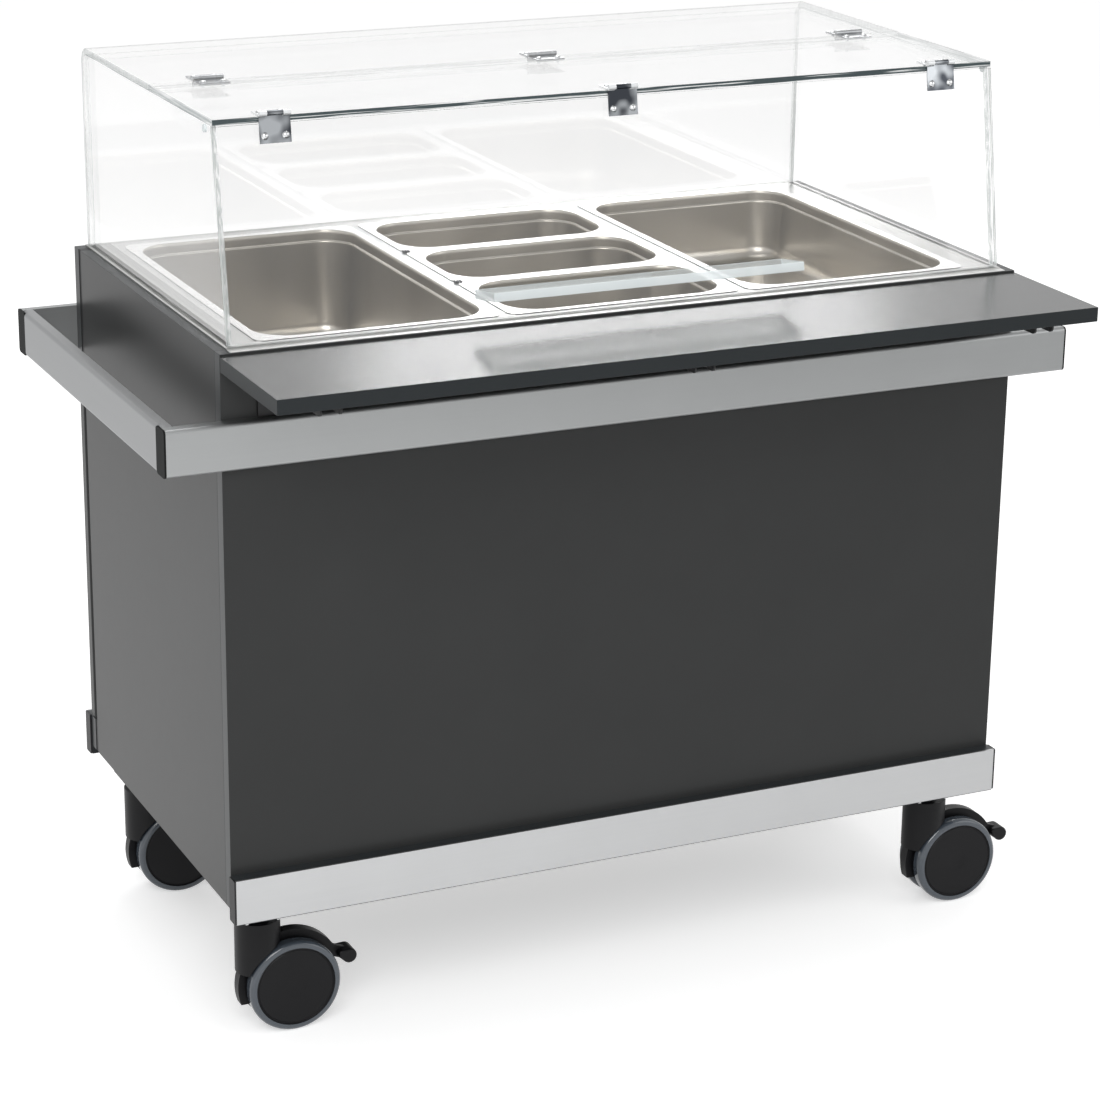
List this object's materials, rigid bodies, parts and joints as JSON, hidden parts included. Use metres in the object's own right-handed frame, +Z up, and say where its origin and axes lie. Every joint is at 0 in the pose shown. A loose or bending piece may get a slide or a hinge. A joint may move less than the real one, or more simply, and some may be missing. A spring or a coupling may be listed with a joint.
{
  "type": "mobile salad bar",
  "caption": "Mobile salad bar: anthracite cabinet on casters, steel food pans under a clear hinged hood, fold-down tray shelf, aluminium bumper rails and rear doors.",
  "frame": {"origin": "on the floor under the middle of the overall bounding box; the cabinet is centred on it across the width", "axes": "+Z up, the tray shelf and front pane towards -Y, +X to the right as seen from the front"},
  "size_m": [1.264, 0.81, 1.2067],
  "materials": {
    "board": "matt anthracite laminate",
    "dark_edge": "matt black",
    "black_steel": "satin black",
    "pan_steel": "satin stainless steel",
    "rail_aluminium": "satin anodised",
    "acrylic": "clear polished",
    "bright_metal": "bright plated",
    "caster_plastic": "fine-grained black",
    "tyre_rubber": "slate grey, smooth"
  },
  "bodies": {
    "cabinet": {"left_end_panel": "board", "right_end_panel": "board", "front_board": "board", "bottom_board": "board", "rear_apron": "board", "rear_sill": "board", "rear_edge_strips": "dark_edge", "chassis_tubes": "black_steel", "well": "pan_steel", "bay_bars": "pan_steel", "cross_bars": "pan_steel", "shelf_wall_brackets": "black_steel", "shelf_pivot_pins": "bright_metal", "front_rail": "rail_aluminium", "rear_rail": "rail_aluminium", "side_rails": "rail_aluminium", "rail_corner_caps": "dark_edge", "strip_cores": "board", "strip_faces": "rail_aluminium", "strip_end_caps": "dark_edge", "hood_rear_pane": "acrylic", "hood_left_pane": "acrylic", "hood_right_pane": "acrylic", "rear_hinge_fixed_leaves": "bright_metal", "rear_pane_screws": "bright_metal", "side_pane_bumpers": "acrylic", "door_pivots": "bright_metal", "caster_plates": "bright_metal", "caster_nuts": "bright_metal"},
    "tray_shelf_leaf": {"tray_shelf": "board", "shelf_arms": "black_steel"},
    "top_flap": {"hood_top_flap": "acrylic", "rear_hinge_flap_leaves": "bright_metal", "front_hinge_flap_leaves": "bright_metal", "flap_screws": "bright_metal"},
    "front_pane": {"hood_front_pane": "acrylic", "grip_strip": "acrylic", "front_hinge_pane_leaves": "bright_metal", "front_pane_screws": "bright_metal"},
    "left_door_leaf": {"left_door": "board"},
    "right_door_leaf": {"right_door": "board"},
    "left_pan_lift_out": {"left_pan": "pan_steel"},
    "middle_front_pan_lift_out": {"middle_front_pan": "pan_steel"},
    "middle_centre_pan_lift_out": {"middle_centre_pan": "pan_steel"},
    "middle_rear_pan_lift_out": {"middle_rear_pan": "pan_steel"},
    "right_pan_lift_out": {"right_pan": "pan_steel"},
    "front_left_swivel": {"front_left_caster_body": "caster_plastic"},
    "front_left_wheels": {"front_left_tyres": "tyre_rubber", "front_left_wheel_core": "caster_plastic"},
    "front_left_brake": {"front_left_brake_pedal": "caster_plastic"},
    "front_right_swivel": {"front_right_caster_body": "caster_plastic"},
    "front_right_wheels": {"front_right_tyres": "tyre_rubber", "front_right_wheel_core": "caster_plastic"},
    "front_right_brake": {"front_right_brake_pedal": "caster_plastic"},
    "rear_left_swivel": {"rear_left_caster_body": "caster_plastic"},
    "rear_left_wheels": {"rear_left_tyres": "tyre_rubber", "rear_left_wheel_core": "caster_plastic"},
    "rear_right_swivel": {"rear_right_caster_body": "caster_plastic"},
    "rear_right_wheels": {"rear_right_tyres": "tyre_rubber", "rear_right_wheel_core": "caster_plastic"}
  },
  "joints": [
    {"name": "tray_shelf_fold", "type": "hinge", "parent": "cabinet", "child": "tray_shelf_leaf", "pos_m": [0, -0.229, 0.8995], "axis": [1, 0, 0], "range_deg": [0, 90]},
    {"name": "top_flap_hinge", "type": "hinge", "parent": "cabinet", "child": "top_flap", "pos_m": [0, 0.0925, 1.2035], "axis": [-1, 0, 0], "range_deg": [0, 100]},
    {"name": "front_pane_hinge", "type": "hinge", "parent": "top_flap", "child": "front_pane", "pos_m": [0, -0.14997, 1.2035], "axis": [-1, 0, 0], "range_deg": [0, 170]},
    {"name": "left_door_hinge", "type": "hinge", "parent": "cabinet", "child": "left_door_leaf", "pos_m": [-0.5455, 0.3755, 0.516], "axis": [0, 0, 1], "range_deg": [0, 110]},
    {"name": "right_door_hinge", "type": "hinge", "parent": "cabinet", "child": "right_door_leaf", "pos_m": [0.5455, 0.3755, 0.516], "axis": [0, 0, -1], "range_deg": [0, 110]},
    {"name": "left_pan_lift", "type": "slide", "parent": "cabinet", "child": "left_pan_lift_out", "axis": [0, 0, 1], "range_m": [0, 0.03]},
    {"name": "middle_front_pan_lift", "type": "slide", "parent": "cabinet", "child": "middle_front_pan_lift_out", "axis": [0, 0, 1], "range_m": [0, 0.03]},
    {"name": "middle_centre_pan_lift", "type": "slide", "parent": "cabinet", "child": "middle_centre_pan_lift_out", "axis": [0, 0, 1], "range_m": [0, 0.08]},
    {"name": "middle_rear_pan_lift", "type": "slide", "parent": "cabinet", "child": "middle_rear_pan_lift_out", "axis": [0, 0, 1], "range_m": [0, 0.08]},
    {"name": "right_pan_lift", "type": "slide", "parent": "cabinet", "child": "right_pan_lift_out", "axis": [0, 0, 1], "range_m": [0, 0.03]},
    {"name": "front_left_swivel_turn", "type": "hinge", "parent": "cabinet", "child": "front_left_swivel", "pos_m": [-0.499, -0.143, 0.165], "axis": [0, 0, 1], "continuous": true},
    {"name": "front_left_wheel_roll", "type": "hinge", "parent": "front_left_swivel", "child": "front_left_wheels", "pos_m": [-0.457, -0.143, 0.0625], "axis": [0, 1, 0], "continuous": true},
    {"name": "front_left_brake_press", "type": "hinge", "parent": "front_left_swivel", "child": "front_left_brake", "pos_m": [-0.411, -0.143, 0.0965], "axis": [0, 1, 0], "range_deg": [0, 15]},
    {"name": "front_right_swivel_turn", "type": "hinge", "parent": "cabinet", "child": "front_right_swivel", "pos_m": [0.499, -0.143, 0.165], "axis": [0, 0, 1], "continuous": true},
    {"name": "front_right_wheel_roll", "type": "hinge", "parent": "front_right_swivel", "child": "front_right_wheels", "pos_m": [0.541, -0.143, 0.0625], "axis": [0, 1, 0], "continuous": true},
    {"name": "front_right_brake_press", "type": "hinge", "parent": "front_right_swivel", "child": "front_right_brake", "pos_m": [0.587, -0.143, 0.0965], "axis": [0, 1, 0], "range_deg": [0, 15]},
    {"name": "rear_left_swivel_turn", "type": "hinge", "parent": "cabinet", "child": "rear_left_swivel", "pos_m": [-0.499, 0.321, 0.165], "axis": [0, 0, 1], "continuous": true},
    {"name": "rear_left_wheel_roll", "type": "hinge", "parent": "rear_left_swivel", "child": "rear_left_wheels", "pos_m": [-0.457, 0.321, 0.0625], "axis": [0, 1, 0], "continuous": true},
    {"name": "rear_right_swivel_turn", "type": "hinge", "parent": "cabinet", "child": "rear_right_swivel", "pos_m": [0.499, 0.321, 0.165], "axis": [0, 0, 1], "continuous": true},
    {"name": "rear_right_wheel_roll", "type": "hinge", "parent": "rear_right_swivel", "child": "rear_right_wheels", "pos_m": [0.541, 0.321, 0.0625], "axis": [0, 1, 0], "continuous": true}
  ]
}
